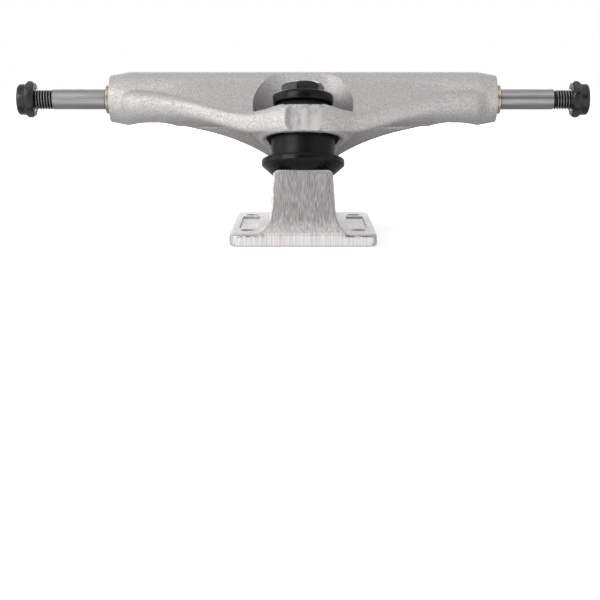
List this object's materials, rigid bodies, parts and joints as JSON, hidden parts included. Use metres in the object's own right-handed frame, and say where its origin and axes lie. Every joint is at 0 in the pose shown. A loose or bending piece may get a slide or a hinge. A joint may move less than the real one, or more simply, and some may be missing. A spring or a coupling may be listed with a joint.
{
  "type": "skateboard truck",
  "caption": "Skateboard truck with a bolt-on baseplate, a rubber-sprung hanger that tilts on a kingpin and pivot, and a threaded through axle for a wheel at each end.",
  "frame": {"origin": "Centre of the four deck bolts, on the face that meets the deck.", "axes": "+X along the axle, to the right as seen from the kingpin side; +Y towards the pivot side; +Z away from the deck, towards the axle."},
  "size_m": [0.2212, 0.082, 0.063],
  "materials": {
    "cast_aluminium": "tumbled light grey casting, belt-sanded kingpin-side face",
    "axle_steel": "plain ground steel",
    "ring_steel": "zinc plate, slightly yellow",
    "black_steel": "black oxide",
    "black_washer": "black oxide on pressed sheet",
    "urethane": "satin black urethane",
    "pivot_plastic": "matt black",
    "nylon": "natural nylon"
  },
  "bodies": {
    "base": {"baseplate": "cast_aluminium", "pivot_cup": "pivot_plastic", "kingpin_nut": "black_steel", "kingpin_nut_insert": "nylon", "bottom_washer": "black_washer", "bottom_bushing": "urethane", "top_bushing": "urethane", "top_washer": "black_washer"},
    "kingpin": {"kingpin": "black_steel"},
    "hanger": {"hanger": "cast_aluminium", "axle": "axle_steel"},
    "left_rings": {"speed_ring_left_inner": "ring_steel", "speed_ring_left_outer": "ring_steel"},
    "right_rings": {"speed_ring_right_inner": "ring_steel", "speed_ring_right_outer": "ring_steel"},
    "left_nut": {"axle_nut_left": "black_steel", "axle_nut_insert_left": "nylon"},
    "right_nut": {"axle_nut_right": "black_steel", "axle_nut_insert_right": "nylon"}
  },
  "joints": [
    {"name": "steer", "type": "hinge", "parent": "base", "child": "hanger", "pos_m": [0, -0.01899, 0.04215], "axis": [0, -0.8145, 0.5801], "range_deg": [-20, 20], "stiffness_Nm_per_rad": 45, "deforming": ["bottom_bushing", "top_bushing"]},
    {"name": "kingpin_turn", "type": "hinge", "parent": "base", "child": "kingpin", "pos_m": [0, -0.0295, 0], "axis": [0, 0.2419, 0.9703], "continuous": true},
    {"name": "left_rings_slide", "type": "slide", "parent": "hanger", "child": "left_rings", "axis": [-1, 0, 0], "range_m": [0, 0.026]},
    {"name": "right_rings_slide", "type": "slide", "parent": "hanger", "child": "right_rings", "axis": [1, 0, 0], "range_m": [0, 0.026]},
    {"name": "left_nut_off", "type": "slide", "parent": "hanger", "child": "left_nut", "axis": [-1, 0, 0], "range_m": [0, 0.045]},
    {"name": "right_nut_off", "type": "slide", "parent": "hanger", "child": "right_nut", "axis": [1, 0, 0], "range_m": [0, 0.045]}
  ]
}
